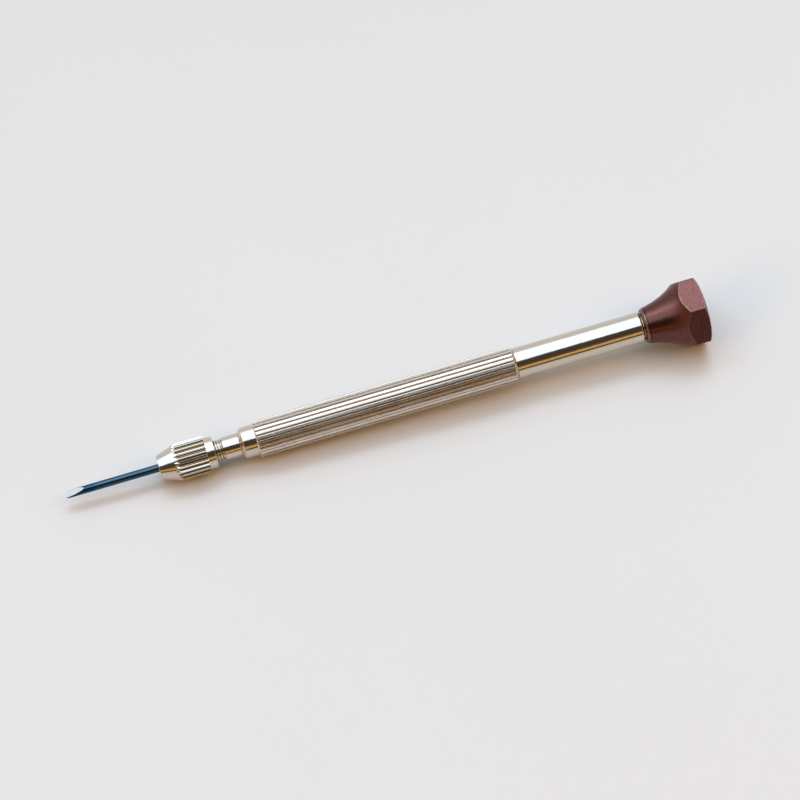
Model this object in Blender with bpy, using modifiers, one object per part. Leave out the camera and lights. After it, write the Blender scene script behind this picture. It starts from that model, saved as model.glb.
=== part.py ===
"""Watchmaker's screwdriver with a collet chuck, a fluted grip and a free-turning head.

Units are metres and +Z is up. The tool lies along X, its blade tip towards -X, with one flat of
the hexagonal head on the plane Z = 0. The origin is under the middle of the tool's length.
A station is a distance from the blade's working edge, measured along the tool towards the head.
"""
import math

import bmesh
import bpy
from mathutils import Matrix

MM = 0.001

# Blade
BLADE_DIAMETER = 1.20 * MM
BLADE_EXPOSED = 14.7 * MM
BLADE_HELD = 10.3 * MM
CHISEL_LENGTH = 2.9 * MM
CHISEL_EDGE = 0.22 * MM

# Chuck nut
NUT_DIAMETER = 5.85 * MM
NUT_FACE_DIAMETER = 3.7 * MM
NUT_CONE_LENGTH = 3.2 * MM
NUT_FLUTED_LENGTH = 4.4 * MM
NUT_COLLAR_DIAMETER = 4.9 * MM
NUT_COLLAR_LENGTH = 1.3 * MM
NUT_LIP = 0.4 * MM
NUT_FLUTE_DEPTH = 0.26 * MM
NUT_FLUTE_WIDTH = 0.60 * MM
NUT_FLUTE_COUNT = 24

# Collet and chuck stem
COLLET_NOSE_DIAMETER = 2.0 * MM
COLLET_HEAD_DIAMETER = 2.8 * MM
COLLET_CONE_LENGTH = 2.2 * MM
COLLET_HEAD_LENGTH = 3.1 * MM
COLLET_SHANK_DIAMETER = 2.2 * MM
COLLET_SHANK_LENGTH = 5.5 * MM
COLLET_SLIT_WIDTH = 0.16 * MM
COLLET_SLIT_LENGTH = 6.8 * MM
THREAD_DIAMETER = 3.4 * MM
THREAD_PITCH = 0.45 * MM
THREAD_DEPTH = 0.20 * MM
THREAD_LEAD = 0.15 * MM
THREAD_EXPOSED = 1.35 * MM
NECK_DIAMETER = 3.6 * MM
NECK_LENGTH = 2.6 * MM
STEM_SPIGOT_DIAMETER = 3.0 * MM
STEM_SPIGOT_LENGTH = 6.0 * MM

# Grip barrel
GRIP_DIAMETER = 5.65 * MM
GRIP_LENGTH = 41.6 * MM
GRIP_COLLAR_DIAMETER = 4.9 * MM
GRIP_COLLAR_LENGTH = 2.05 * MM
GRIP_NOSE_DIAMETER = 3.8 * MM
GRIP_NOSE_LENGTH = 0.5 * MM
GRIP_FLUTE_COUNT = 24
GRIP_FLUTE_WIDTH = 0.34 * MM
GRIP_FLUTE_DEPTH = 0.17 * MM
GRIP_FRONT_CHAMFER = 0.15 * MM
GRIP_END_CHAMFER = 0.38 * MM

# Rear tube
TUBE_DIAMETER = 4.85 * MM
TUBE_LENGTH = 20.5 * MM
TUBE_SPIGOT_DIAMETER = 4.0 * MM
TUBE_SPIGOT_LENGTH = 7.8 * MM
TUBE_BORE = 3.0 * MM
TUBE_END_CHAMFER = 0.3 * MM

# Head
HEAD_ACROSS_FLATS = 10.15 * MM
HEAD_LENGTH = 9.6 * MM
HEAD_FACE_DIAMETER = 4.5 * MM
HEAD_LIP_DIAMETER = 5.36 * MM
HEAD_LIP_LENGTH = 0.35 * MM
HEAD_FLARE_DIAMETER = 5.6 * MM
HEAD_FLARE_START = 0.6 * MM
HEAD_FLARE_BEND_DIAMETER = 7.13 * MM
HEAD_FLARE_BEND = 4.75 * MM
HEAD_FLARE_END = 6.87 * MM
HEAD_END_LAND = 0.05 * MM
HEAD_END_CHAMFER = math.radians(30)
HEAD_DISH_RIM = 0.8 * MM
HEAD_DISH_DEPTH = 0.5 * MM
HEAD_GAP = 0.2 * MM

# Head bearing
SPINDLE_DIAMETER = 2.0 * MM
SPINDLE_IN_HEAD = 6.0 * MM
SPINDLE_NOSE = 1.0 * MM
CLIP_DIAMETER = 2.7 * MM
CLIP_GROOVE_DIAMETER = 1.5 * MM
CLIP_THICKNESS = 0.4 * MM
CLIP_MOUTH = 1.2 * MM
BUSH_LENGTH = 5.0 * MM
WASHER_DIAMETER = 3.9 * MM
WASHER_THICKNESS = 0.45 * MM
BALL_DIAMETER = 2.0 * MM
BALL_SEAT_LENGTH = 3.0 * MM

# Fits and small edges
RUNNING_FIT = 0.05 * MM
PRESS_LINE = 0.03 * MM
FACE_GAP = 0.03 * MM
DRILL_ROOM = 1.0 * MM
EDGE = 0.12 * MM

# Facets round each turned piece and along each arc
ROUND = 48
SMALL_ROUND = 24
ARC_STEPS = 8

# Stations that follow from the sizes
NUT_START = BLADE_EXPOSED
NUT_FLUTES_END = NUT_CONE_LENGTH + NUT_FLUTED_LENGTH
NUT_LENGTH = NUT_FLUTES_END + NUT_COLLAR_LENGTH
COLLET_START = NUT_START + NUT_LIP
COLLET_LENGTH = COLLET_HEAD_LENGTH + COLLET_SHANK_LENGTH
STEM_START = COLLET_START + COLLET_HEAD_LENGTH + FACE_GAP
NECK_START = NUT_START + NUT_LENGTH + THREAD_EXPOSED
GRIP_START = NECK_START + NECK_LENGTH
FLUTES_START = GRIP_START + GRIP_NOSE_LENGTH + GRIP_COLLAR_LENGTH
GRIP_END = FLUTES_START + GRIP_LENGTH
TUBE_START = GRIP_END + FACE_GAP
TUBE_END = TUBE_START + TUBE_LENGTH
WASHER_START = TUBE_END + FACE_GAP
HEAD_START = TUBE_END + HEAD_GAP
HEAD_RECESS_DEPTH = WASHER_START + WASHER_THICKNESS + FACE_GAP - HEAD_START
BUSH_START = TUBE_END - BUSH_LENGTH
CLIP_START = BUSH_START - FACE_GAP - CLIP_THICKNESS
SPINDLE_START = CLIP_START - SPINDLE_NOSE
BALL_MIDDLE = SPINDLE_START - FACE_GAP - BALL_DIAMETER / 2
BLADE_LENGTH = BLADE_EXPOSED + BLADE_HELD
TOTAL_LENGTH = HEAD_START + HEAD_LENGTH
AXIS_HEIGHT = HEAD_ACROSS_FLATS / 2


def reset_scene():
    """Remove every object, so that the model is built alone."""
    for thing in list(bpy.data.objects):
        bpy.data.objects.remove(thing, do_unlink=True)


def new_collection(name):
    """Make a collection and link it to the scene."""
    collection = bpy.data.collections.new(name)
    bpy.context.scene.collection.children.link(collection)
    return collection


def tool_axis():
    """Empty whose +Z is the tool's axis, with its origin at the blade's working edge."""
    empty = bpy.data.objects.new("tool_axis", None)
    empty.empty_display_size = TOTAL_LENGTH / 10
    empty.location = (-TOTAL_LENGTH / 2, 0.0, AXIS_HEIGHT)
    empty.rotation_euler = (0.0, math.pi / 2, 0.0)
    bpy.context.scene.collection.objects.link(empty)
    return empty


def metal(name, colour, roughness):
    """Plain metallic Principled material."""
    material = bpy.data.materials.new(name)
    material.use_nodes = True
    shader = material.node_tree.nodes["Principled BSDF"]
    shader.inputs["Base Color"].default_value = (*colour, 1.0)
    shader.inputs["Roughness"].default_value = roughness
    shader.inputs["Metallic"].default_value = 1.0
    material.diffuse_color = (*colour, 1.0)
    return material


def place(thing, axis, station, collection):
    """Put an object on the tool's axis with its own zero at the station."""
    collection.objects.link(thing)
    thing.parent = axis
    thing.location = (0.0, 0.0, station)
    return thing


def turning_path(outer, inner):
    """Join the outside and the bore, each listed from front to rear, into one profile.

    The profile runs down the outside from the rear and comes back along the bore. A piece with
    no bore, or a blind one, is closed by a last point on the axis.
    """
    path = outer[::-1] + inner
    if not inner:
        path = path + [(0.0, outer[0][1])]
    if path[-1][0] == 0.0 and path[0][0] > 0.0:
        path = [(0.0, outer[-1][1])] + path
    return path


def turned(name, outer, inner=(), segments=ROUND):
    """Turn a profile of (radius, height) points about local Z."""
    path = turning_path(list(outer), list(inner))
    edges = [(i, i + 1) for i in range(len(path) - 1)]
    if path[0][0] > 0.0:
        edges.append((len(path) - 1, 0))
    mesh = bpy.data.meshes.new(name)
    mesh.from_pydata([(radius, 0.0, height) for radius, height in path], edges, [])
    thing = bpy.data.objects.new(name, mesh)
    screw = thing.modifiers.new("turning", "SCREW")
    screw.axis = "Z"
    screw.angle = 2 * math.pi
    screw.steps = segments
    screw.render_steps = segments
    screw.use_smooth_shade = False
    screw.use_merge_vertices = True
    screw.merge_threshold = 1e-7
    return thing


def cutter(name, build, axis, station, collection):
    """Make a hidden cutter from a function that fills a bmesh."""
    mesh = bpy.data.meshes.new(name)
    bm = bmesh.new()
    build(bm)
    bm.to_mesh(mesh)
    bm.free()
    thing = bpy.data.objects.new(name, mesh)
    thing.hide_render = True
    thing.display_type = "WIRE"
    return place(thing, axis, station, collection)


def cut(thing, tool, operation="DIFFERENCE"):
    """Cut a piece with a cutter, or keep only what both share."""
    modifier = thing.modifiers.new(tool.name, "BOOLEAN")
    modifier.operation = operation
    modifier.solver = "EXACT"
    modifier.object = tool


def flute_rods(count, crest_radius, depth, width, length, sides):
    """Rods parallel to Z, each sunk by depth into a cylinder where it is width across.

    Each rod has a flat towards the axis, because an edge there would lie along the corners of
    the faceted cylinder.
    """
    rod = (width ** 2 / 4 + depth ** 2) / (2 * depth)
    ring = crest_radius + rod - depth

    def build(bm):
        for index in range(count):
            spin = Matrix.Rotation(2 * math.pi * (index + 0.5) / count, 4, "Z")
            out = Matrix.Translation((ring, 0.0, length / 2))
            turn = Matrix.Rotation(math.pi / 2 + math.pi / sides, 4, "Z")
            bmesh.ops.create_cone(bm, cap_ends=True, segments=sides, radius1=rod, radius2=rod,
                                  depth=length, matrix=spin @ out @ turn)
    return build


def blocks(placed_sizes):
    """Blocks, each given by a matrix and a size."""
    def build(bm):
        for matrix, size in placed_sizes:
            bmesh.ops.create_cube(bm, size=1.0, matrix=matrix @ Matrix.Diagonal((*size, 1.0)))
    return build


def hexagon_bar(across_flats, length):
    """Hexagonal bar along Z with a flat towards local +X."""
    corner = across_flats / 2 / math.cos(math.pi / 6)

    def build(bm):
        middle = Matrix.Translation((0.0, 0.0, length / 2))
        bmesh.ops.create_cone(bm, cap_ends=True, segments=6, radius1=corner, radius2=corner,
                              depth=length, matrix=middle)
    return build


def make_blade(axis, parts, cutters):
    """Round rod, ground on two sides to a chisel edge that lies level."""
    radius = BLADE_DIAMETER / 2
    blade = turned("blade", [(radius, 0.0), (radius, BLADE_LENGTH)], segments=SMALL_ROUND)
    slope = math.atan2(radius - CHISEL_EDGE / 2, CHISEL_LENGTH)
    wide = 4 * BLADE_DIAMETER
    for side, name in ((1, "chisel_cut_lower"), (-1, "chisel_cut_upper")):
        hinge = Matrix.Translation((side * radius, 0.0, CHISEL_LENGTH))
        tilt = Matrix.Rotation(side * slope, 4, "Y")
        outside = Matrix.Translation((side * wide / 2, 0.0, 0.0))
        block = blocks([(hinge @ tilt @ outside, (wide, wide, 3 * CHISEL_LENGTH))])
        cut(blade, cutter(name, block, axis, 0.0, cutters))
    blade.data.materials.append(metal("blued_steel", (0.08, 0.20, 0.36), 0.25))
    return place(blade, axis, 0.0, parts)


def collet_cone(gap=0.0):
    """Outline of the collet's cone, or of the nut's cone that closes on it."""
    return [(COLLET_NOSE_DIAMETER / 2 + gap, 0.0),
            (COLLET_HEAD_DIAMETER / 2 + gap, COLLET_CONE_LENGTH)]


def make_chuck_nut(axis, parts, cutters, nickel):
    """Fluted nut, coned outside and inside, with a plain collar behind."""
    face = NUT_FACE_DIAMETER / 2
    body = NUT_DIAMETER / 2
    collar = NUT_COLLAR_DIAMETER / 2
    outer = [(face, 0.0), (body, NUT_CONE_LENGTH), (body, NUT_FLUTES_END),
             (collar, NUT_FLUTES_END), (collar, NUT_LENGTH - EDGE), (collar - EDGE, NUT_LENGTH)]
    cone = [(radius, NUT_LIP + height) for radius, height in collet_cone(RUNNING_FIT)]
    bore = THREAD_DIAMETER / 2 + RUNNING_FIT
    inner = [(cone[0][0], 0.0), *cone, (bore, NUT_LIP + COLLET_CONE_LENGTH), (bore, NUT_LENGTH)]
    nut = turned("chuck_nut", outer, inner)
    flutes = flute_rods(NUT_FLUTE_COUNT, body, NUT_FLUTE_DEPTH, NUT_FLUTE_WIDTH,
                        NUT_FLUTES_END, 12)
    cut(nut, cutter("nut_flutes", flutes, axis, NUT_START, cutters))
    nut.data.materials.append(nickel)
    return place(nut, axis, NUT_START, parts)


def make_collet(axis, parts, cutters):
    """Loose collet, slit into four jaws, with its shank in the stem."""
    head = COLLET_HEAD_DIAMETER / 2
    shank = COLLET_SHANK_DIAMETER / 2
    bore = BLADE_DIAMETER / 2 + RUNNING_FIT
    outer = collet_cone() + [(head, COLLET_HEAD_LENGTH), (shank, COLLET_HEAD_LENGTH),
                             (shank, COLLET_LENGTH)]
    collet = turned("collet", outer, [(bore, 0.0), (bore, COLLET_LENGTH)], SMALL_ROUND)
    reach = 2 * COLLET_HEAD_DIAMETER
    for name, size in (("collet_slit_upright", (reach, COLLET_SLIT_WIDTH)),
                       ("collet_slit_level", (COLLET_SLIT_WIDTH, reach))):
        plate = blocks([(Matrix(), (*size, 2 * COLLET_SLIT_LENGTH))])
        cut(collet, cutter(name, plate, axis, COLLET_START, cutters))
    collet.data.materials.append(metal("spring_steel", (0.45, 0.44, 0.42), 0.35))
    return place(collet, axis, COLLET_START, parts)


def thread_outline(length):
    """Ridges one pitch apart that stand for the thread, from front to rear."""
    crest = THREAD_DIAMETER / 2
    root = crest - THREAD_DEPTH
    turns = int((length - THREAD_LEAD) / THREAD_PITCH)
    lead = length - turns * THREAD_PITCH
    outline = [(root, 0.0)]
    for turn in range(turns):
        start = lead + turn * THREAD_PITCH
        outline += [(root, start), (crest, start + THREAD_PITCH / 2)]
    return outline


def make_chuck_stem(axis, parts, nickel):
    """Threaded nose and plain neck, on a spigot that is pressed into the grip."""
    thread_end = NECK_START - STEM_START
    neck_end = GRIP_START - FACE_GAP - STEM_START
    neck = NECK_DIAMETER / 2
    spigot = STEM_SPIGOT_DIAMETER / 2
    outer = thread_outline(thread_end) + [
        (THREAD_DIAMETER / 2 - THREAD_DEPTH, thread_end), (neck, thread_end), (neck, neck_end),
        (spigot, neck_end), (spigot, neck_end + STEM_SPIGOT_LENGTH)]
    guide = COLLET_SHANK_DIAMETER / 2 + RUNNING_FIT
    guide_end = COLLET_START + COLLET_LENGTH + FACE_GAP - STEM_START
    drill = BLADE_DIAMETER / 2 + 2 * RUNNING_FIT
    drill_end = BLADE_LENGTH + DRILL_ROOM - STEM_START
    inner = [(guide, 0.0), (guide, guide_end), (drill, guide_end), (drill, drill_end),
             (0.0, drill_end)]
    stem = turned("chuck_stem", outer, inner, SMALL_ROUND)
    stem.data.materials.append(nickel)
    return place(stem, axis, STEM_START, parts)


def make_grip_barrel(axis, parts, cutters):
    """Long fluted barrel with a plain collar and a coned nose in front."""
    nose = GRIP_NOSE_DIAMETER / 2
    collar = GRIP_COLLAR_DIAMETER / 2
    body = GRIP_DIAMETER / 2
    flutes_start = FLUTES_START - GRIP_START
    length = GRIP_END - GRIP_START
    outer = [(nose, 0.0), (collar, GRIP_NOSE_LENGTH), (collar, flutes_start),
             (body - GRIP_FRONT_CHAMFER, flutes_start), (body, flutes_start + GRIP_FRONT_CHAMFER),
             (body, length - GRIP_END_CHAMFER), (body - GRIP_END_CHAMFER, length)]
    stem_bore = STEM_SPIGOT_DIAMETER / 2 + PRESS_LINE
    tube_bore = TUBE_SPIGOT_DIAMETER / 2 + PRESS_LINE
    tube_bore_start = length - TUBE_SPIGOT_LENGTH - FACE_GAP
    inner = [(stem_bore, 0.0), (stem_bore, tube_bore_start), (tube_bore, tube_bore_start),
             (tube_bore, length)]
    grip = turned("grip_barrel", outer, inner)
    flutes = flute_rods(GRIP_FLUTE_COUNT, body, GRIP_FLUTE_DEPTH, GRIP_FLUTE_WIDTH,
                        2 * GRIP_LENGTH, 6)
    cut(grip, cutter("grip_flutes", flutes, axis, FLUTES_START - EDGE, cutters))
    grip.data.materials.append(metal("frosted_nickel", (0.66, 0.62, 0.56), 0.38))
    return place(grip, axis, GRIP_START, parts)


def make_rear_tube(axis, parts, nickel):
    """Plain tube behind the grip, pressed into it by a spigot."""
    spigot = TUBE_SPIGOT_DIAMETER / 2
    body = TUBE_DIAMETER / 2
    bore = TUBE_BORE / 2
    length = TUBE_SPIGOT_LENGTH + TUBE_LENGTH
    outer = [(spigot, 0.0), (spigot, TUBE_SPIGOT_LENGTH), (body, TUBE_SPIGOT_LENGTH),
             (body, length - TUBE_END_CHAMFER), (body - TUBE_END_CHAMFER, length)]
    tube = turned("rear_tube", outer, [(bore, 0.0), (bore, length)])
    tube.data.materials.append(nickel)
    return place(tube, axis, TUBE_START - TUBE_SPIGOT_LENGTH, parts)


def make_ball_seat(axis, parts, steel):
    """Plug pressed into the tube, with a cup for the thrust ball."""
    plug = TUBE_BORE / 2 - PRESS_LINE
    cup = BALL_DIAMETER / 2 + RUNNING_FIT
    cup_floor = BALL_SEAT_LENGTH - BALL_DIAMETER / 2 - FACE_GAP
    outer = [(plug, 0.0), (plug, BALL_SEAT_LENGTH), (cup, BALL_SEAT_LENGTH),
             (cup, cup_floor), (0.0, cup_floor)]
    seat = turned("ball_seat", outer, segments=SMALL_ROUND)
    seat.data.materials.append(steel)
    return place(seat, axis, BALL_MIDDLE - BALL_SEAT_LENGTH, parts)


def make_thrust_ball(axis, parts, steel):
    """Ball that takes the fingertip's push on the spindle."""
    mesh = bpy.data.meshes.new("thrust_ball")
    bm = bmesh.new()
    bmesh.ops.create_uvsphere(bm, u_segments=16, v_segments=8, radius=BALL_DIAMETER / 2)
    bm.to_mesh(mesh)
    bm.free()
    ball = bpy.data.objects.new("thrust_ball", mesh)
    ball.data.materials.append(steel)
    return place(ball, axis, BALL_MIDDLE, parts)


def make_tail_bush(axis, parts, bronze):
    """Bronze bush pressed into the end of the tube, where the spindle turns."""
    outside = TUBE_BORE / 2 - PRESS_LINE
    bore = SPINDLE_DIAMETER / 2 + RUNNING_FIT
    bush = turned("tail_bush", [(outside, 0.0), (outside, BUSH_LENGTH)],
                  [(bore, 0.0), (bore, BUSH_LENGTH)], SMALL_ROUND)
    bush.data.materials.append(bronze)
    return place(bush, axis, BUSH_START, parts)


def make_thrust_washer(axis, parts, bronze):
    """Washer between the tube's end and the floor of the head's recess."""
    outside = WASHER_DIAMETER / 2
    bore = SPINDLE_DIAMETER / 2 + RUNNING_FIT
    washer = turned("thrust_washer", [(outside, 0.0), (outside, WASHER_THICKNESS)],
                    [(bore, 0.0), (bore, WASHER_THICKNESS)], SMALL_ROUND)
    washer.data.materials.append(bronze)
    return place(washer, axis, WASHER_START, parts)


def make_spindle(axis, parts, steel):
    """Steel pin pressed into the head, grooved for its clip, with a round-edged nose."""
    radius = SPINDLE_DIAMETER / 2
    groove = CLIP_GROOVE_DIAMETER / 2
    groove_start = CLIP_START - FACE_GAP - SPINDLE_START
    groove_end = CLIP_START + CLIP_THICKNESS + FACE_GAP / 2 - SPINDLE_START
    length = HEAD_START + HEAD_RECESS_DEPTH + SPINDLE_IN_HEAD - SPINDLE_START
    outer = [(radius - EDGE, 0.0), (radius, EDGE), (radius, groove_start),
             (groove, groove_start), (groove, groove_end), (radius, groove_end),
             (radius, length - EDGE), (radius - EDGE, length)]
    spindle = turned("spindle", outer, segments=SMALL_ROUND)
    spindle.data.materials.append(steel)
    return place(spindle, axis, SPINDLE_START, parts)


def make_retaining_clip(axis, parts, cutters, steel):
    """Open spring ring in the spindle's groove, which stops the head from pulling off."""
    outside = CLIP_DIAMETER / 2
    bore = CLIP_GROOVE_DIAMETER / 2 + PRESS_LINE
    clip = turned("retaining_clip", [(outside, 0.0), (outside, CLIP_THICKNESS)],
                  [(bore, 0.0), (bore, CLIP_THICKNESS)], SMALL_ROUND)
    mouth = blocks([(Matrix.Translation((-outside, 0.0, 0.0)),
                     (2 * outside, CLIP_MOUTH, 3 * CLIP_THICKNESS))])
    cut(clip, cutter("clip_mouth", mouth, axis, CLIP_START, cutters))
    clip.data.materials.append(steel)
    return place(clip, axis, CLIP_START, parts)


def flare_curve(corner):
    """Concave curve of the head's flare, from its front circle out to the bar's corners.

    It leaves the front towards the bend point and reaches the corners coming from it.
    """
    ends = [(HEAD_FLARE_DIAMETER / 2, HEAD_FLARE_START),
            (HEAD_FLARE_BEND_DIAMETER / 2, HEAD_FLARE_BEND), (corner, HEAD_FLARE_END)]
    curve = []
    for step in range(ARC_STEPS + 1):
        share = step / ARC_STEPS
        weights = ((1 - share) ** 2, 2 * share * (1 - share), share ** 2)
        curve.append(tuple(sum(weight * point[axis] for weight, point in zip(weights, ends))
                           for axis in (0, 1)))
    return curve


def dish_arc(rim_radius):
    """Shallow hollow in the head's end, from its rim to the axis."""
    sphere = (rim_radius ** 2 + HEAD_DISH_DEPTH ** 2) / (2 * HEAD_DISH_DEPTH)
    reach = math.asin(rim_radius / sphere)
    arc = []
    for step in range(ARC_STEPS // 2 + 1):
        angle = reach * (1 - step / (ARC_STEPS // 2))
        height = HEAD_LENGTH - HEAD_DISH_DEPTH + sphere * (1 - math.cos(angle))
        arc.append((sphere * math.sin(angle), height))
    return arc


def make_head(axis, parts, cutters):
    """Head turned from hexagonal bar, flared in front and dished behind."""
    flat = HEAD_ACROSS_FLATS / 2
    corner = flat / math.cos(math.pi / 6)
    end = flat - HEAD_END_LAND
    chamfer = (corner - end) * math.tan(HEAD_END_CHAMFER)
    outer = [(HEAD_FACE_DIAMETER / 2, 0.0), (HEAD_LIP_DIAMETER / 2, HEAD_LIP_LENGTH),
             *flare_curve(corner), (corner, HEAD_LENGTH - chamfer), (end, HEAD_LENGTH),
             *dish_arc(end - HEAD_DISH_RIM)]
    recess = WASHER_DIAMETER / 2 + 2 * RUNNING_FIT
    bore = SPINDLE_DIAMETER / 2 + PRESS_LINE
    bore_end = HEAD_RECESS_DEPTH + SPINDLE_IN_HEAD + FACE_GAP
    inner = [(recess, 0.0), (recess, HEAD_RECESS_DEPTH), (bore, HEAD_RECESS_DEPTH),
             (bore, bore_end), (0.0, bore_end)]
    head = turned("head", outer, inner)
    bar = cutter("head_hexagon", hexagon_bar(HEAD_ACROSS_FLATS, 2 * HEAD_LENGTH), axis,
                 HEAD_START - HEAD_LENGTH / 2, cutters)
    cut(head, bar, "INTERSECT")
    head.data.materials.append(metal("maroon_anodised", (0.22, 0.05, 0.06), 0.35))
    return place(head, axis, HEAD_START, parts)


def main():
    """Build the screwdriver from its tip to its head."""
    reset_scene()
    parts = new_collection("watchmaker_screwdriver")
    cutters = new_collection("cutters")
    axis = tool_axis()
    nickel = metal("bright_nickel", (0.80, 0.76, 0.69), 0.12)
    steel = metal("hardened_steel", (0.50, 0.50, 0.52), 0.22)
    bronze = metal("bearing_bronze", (0.62, 0.42, 0.20), 0.30)
    make_blade(axis, parts, cutters)
    make_collet(axis, parts, cutters)
    make_chuck_nut(axis, parts, cutters, nickel)
    make_chuck_stem(axis, parts, nickel)
    make_grip_barrel(axis, parts, cutters)
    make_rear_tube(axis, parts, nickel)
    make_ball_seat(axis, parts, steel)
    make_thrust_ball(axis, parts, steel)
    make_tail_bush(axis, parts, bronze)
    make_retaining_clip(axis, parts, cutters, steel)
    make_thrust_washer(axis, parts, bronze)
    make_spindle(axis, parts, steel)
    make_head(axis, parts, cutters)


main()
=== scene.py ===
# %% [markdown]
# # A watchmaker's screwdriver
#
# This lesson dresses a finished CAD model. The model gives every piece its size, its place and
# the way it moves. Here each piece that shows gets a fine surface, worked out with numpy as a
# function of two parameters, and a metal finish made of shader nodes. The tool lies along X with
# its blade to the left, so almost everything on it is a profile turned about that line.

# %% Load the frame
import math

import bmesh
import bpy
import numpy as np
from mathutils import Matrix, Vector


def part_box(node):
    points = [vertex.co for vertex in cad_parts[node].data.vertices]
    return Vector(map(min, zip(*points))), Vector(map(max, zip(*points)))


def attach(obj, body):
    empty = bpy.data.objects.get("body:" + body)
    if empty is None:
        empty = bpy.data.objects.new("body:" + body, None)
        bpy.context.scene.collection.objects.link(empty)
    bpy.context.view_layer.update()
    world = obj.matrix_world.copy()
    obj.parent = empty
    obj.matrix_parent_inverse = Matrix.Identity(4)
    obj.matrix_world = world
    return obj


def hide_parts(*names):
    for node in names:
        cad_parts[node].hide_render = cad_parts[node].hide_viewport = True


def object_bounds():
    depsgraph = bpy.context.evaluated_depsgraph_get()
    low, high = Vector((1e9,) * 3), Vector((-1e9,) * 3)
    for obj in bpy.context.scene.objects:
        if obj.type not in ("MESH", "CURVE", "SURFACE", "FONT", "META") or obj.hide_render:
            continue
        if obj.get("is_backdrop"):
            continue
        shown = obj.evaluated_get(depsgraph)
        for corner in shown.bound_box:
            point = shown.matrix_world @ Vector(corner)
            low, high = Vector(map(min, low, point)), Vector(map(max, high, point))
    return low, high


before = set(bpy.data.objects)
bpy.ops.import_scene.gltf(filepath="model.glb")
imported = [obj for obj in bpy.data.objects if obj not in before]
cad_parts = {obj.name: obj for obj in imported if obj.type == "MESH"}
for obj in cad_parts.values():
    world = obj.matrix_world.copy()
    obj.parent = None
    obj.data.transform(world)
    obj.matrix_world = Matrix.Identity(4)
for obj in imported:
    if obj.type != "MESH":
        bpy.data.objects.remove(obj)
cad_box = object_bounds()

MM = 0.001
print("nodes:", sorted(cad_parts))

# %% [markdown]
# ## Where things are
#
# The CAD boxes say where each piece starts and ends along the tool, and how thick it is. Sizes
# inside a piece, such as the length of a cone, could be measured on the CAD mesh as well, but
# they read better as names, in millimetres, beside the piece that they belong to.


# %% Places from the CAD boxes
def span(node):
    """First and last x of a node."""
    low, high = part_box(node)
    return low.x, high.x


def radius_of(node):
    """Half of a round node's height."""
    low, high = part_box(node)
    return (high.z - low.z) / 2


AXIS_Z = sum(corner.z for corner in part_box("rear_tube")) / 2
BLADE_X, BLADE_END_X = span("blade")
NUT_X, NUT_END_X = span("chuck_nut")
STEM_X = span("chuck_stem")[0]
GRIP_X, GRIP_END_X = span("grip_barrel")
TUBE_X, TUBE_END_X = span("rear_tube")
HEAD_X, HEAD_END_X = span("head")
print(f"axis {AXIS_Z / MM:.3f} mm above the head's flat")
print(f"head {(HEAD_END_X - HEAD_X) / MM:.2f} mm long")

# %% [markdown]
# ## Turning a profile
#
# A lathe keeps a tool at radius r while it moves along x, so a turned piece is the surface
# (x, r cos a, r sin a). Blender's Screw modifier could make it, but flutes, threads and flats
# are easier as a grid: the rows follow the profile, the columns follow the angle, and the radius
# may change with both. Corners of a real turned part are never sharp, so each corner of the
# profile is given a small arc.


# %% Profiles with rounded corners
ARC_POINTS = 5
LONGEST_LEG = 0.49


def rounded_profile(corners, step=None):
    """Profile through (x, radius, fillet) corners, as an array of (x, radius) rows.

    At a corner with a fillet f, both legs are cut back by f times the tangent of half the turn,
    and an arc of radius f joins them. A fillet takes up no more than about half of either leg.
    Straight stretches are divided into parts no longer than step.
    """
    points = np.array([corner[:2] for corner in corners], float)
    fillets = [corner[2] for corner in corners]
    pieces = []
    for index, fillet in enumerate(fillets):
        here = points[index]
        if fillet == 0 or index in (0, len(points) - 1):
            pieces.append(here[None])
            continue
        back = points[index - 1] - here
        ahead = points[index + 1] - here
        back_unit = back / np.linalg.norm(back)
        ahead_unit = ahead / np.linalg.norm(ahead)
        half = math.acos(np.clip(back_unit @ ahead_unit, -1, 1)) / 2
        shorter = min(np.linalg.norm(back), np.linalg.norm(ahead))
        leg = min(fillet / math.tan(half), LONGEST_LEG * shorter)
        centre = here + (back_unit + ahead_unit) / np.linalg.norm(back_unit + ahead_unit) * (
            leg / math.cos(half))
        start = here + back_unit * leg - centre
        turn = math.atan2(start[0] * ahead_unit[1] - start[1] * ahead_unit[0], start @ ahead_unit)
        turn = math.copysign(math.pi - 2 * half, turn)
        angles = np.linspace(0, turn, ARC_POINTS)
        pieces.append(centre + np.stack([start[0] * np.cos(angles) - start[1] * np.sin(angles),
                                         start[0] * np.sin(angles) + start[1] * np.cos(angles)], 1))
    path = np.concatenate(pieces)
    if step is None:
        return path
    lengths = np.linalg.norm(np.diff(path, axis=0), axis=1)
    counts = np.maximum(1, np.ceil(lengths / step).astype(int))
    parts = [path[i] + np.linspace(0, 1, n, endpoint=False)[:, None] * (path[i + 1] - path[i])
             for i, n in enumerate(counts)]
    return np.concatenate(parts + [path[-1:]])


# Depth below the profile at which the painted shade in a recess is full.
FULL_SHADE_DEPTH = 0.2 * MM


def turned_grid(profile, columns, carve=None):
    """Points (x, r cos a, r sin a) on a rows by columns grid, about the tool's axis.

    carve(x, r, a) may return a new radius for every point of the grid. How far that lies below
    the profile comes back too, from 0 to 1 at a fifth of a millimetre; the finishes use it as
    the share of painted shade in flutes, grooves and threads.
    """
    angles = np.linspace(0, 2 * math.pi, columns, endpoint=False)
    x, a = np.meshgrid(profile[:, 0], angles, indexing="ij")
    plain = np.repeat(profile[:, 1][:, None], columns, axis=1)
    r = plain if carve is None else carve(x, plain, a)
    recess_shade = np.clip((plain - r) / FULL_SHADE_DEPTH, 0, 1)
    return np.stack([x, r * np.cos(a), AXIS_Z + r * np.sin(a)], axis=-1), recess_shade


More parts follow.
